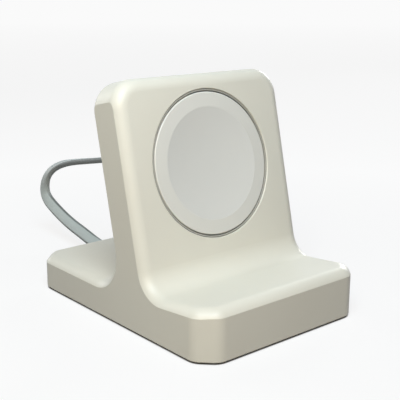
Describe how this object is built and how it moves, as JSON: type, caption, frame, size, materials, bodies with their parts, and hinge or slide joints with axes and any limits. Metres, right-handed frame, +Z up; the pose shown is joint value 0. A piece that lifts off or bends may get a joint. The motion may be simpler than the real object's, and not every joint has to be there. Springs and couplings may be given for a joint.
{
  "type": "watch stand",
  "caption": "Watch charging stand: a moulded base with a leaning panel that holds a round charging puck, fed by a flat cable looped from the panel to the base.",
  "frame": {"origin": "centre of the stand's footprint, on the surface that it stands on", "axes": "+Z up, the tray and the puck face -Y, the cable loop lies towards +Y, +X to the right of a person who faces the puck"},
  "size_m": [0.084, 0.1814, 0.0957],
  "materials": {
    "shell": "satin, fine moulded texture",
    "puck_light": "satin",
    "puck_rim": "satin",
    "cover": "matt",
    "rubber": "matt",
    "gland_rubber": "matt",
    "cable_jacket": "matt, fine ribbed",
    "steel": "plain",
    "screw_steel": "plated",
    "board_green": "solder mask",
    "component_black": "matt",
    "header_white": "plain",
    "can_aluminium": "sleeved",
    "inlet_steel": "plated",
    "ferrite": "matt",
    "copper": "enamelled",
    "magnet_nickel": "plated"
  },
  "bodies": {
    "root": {"stand_body": "shell", "base_plate": "cover", "base_screws": "screw_steel", "foot_front_left": "rubber", "foot_front_right": "rubber", "foot_rear_left": "rubber", "foot_rear_right": "rubber", "ballast_plate": "steel", "ballast_screws": "screw_steel", "power_board": "board_green", "board_screws": "screw_steel", "controller_chip": "component_black", "power_inductor": "component_black", "filter_capacitor": "can_aluminium", "inlet_shell": "inlet_steel", "inlet_tongue": "component_black", "cable_header": "header_white", "base_gland": "gland_rubber", "panel_gland": "gland_rubber", "link_cable": "cable_jacket", "puck_housing": "puck_light", "puck_screws": "screw_steel", "puck_board": "board_green", "ferrite_shield": "ferrite", "charging_coil": "copper", "alignment_magnet": "magnet_nickel", "puck_bezel": "puck_rim", "puck_face": "puck_light"}
  },
  "joints": []
}
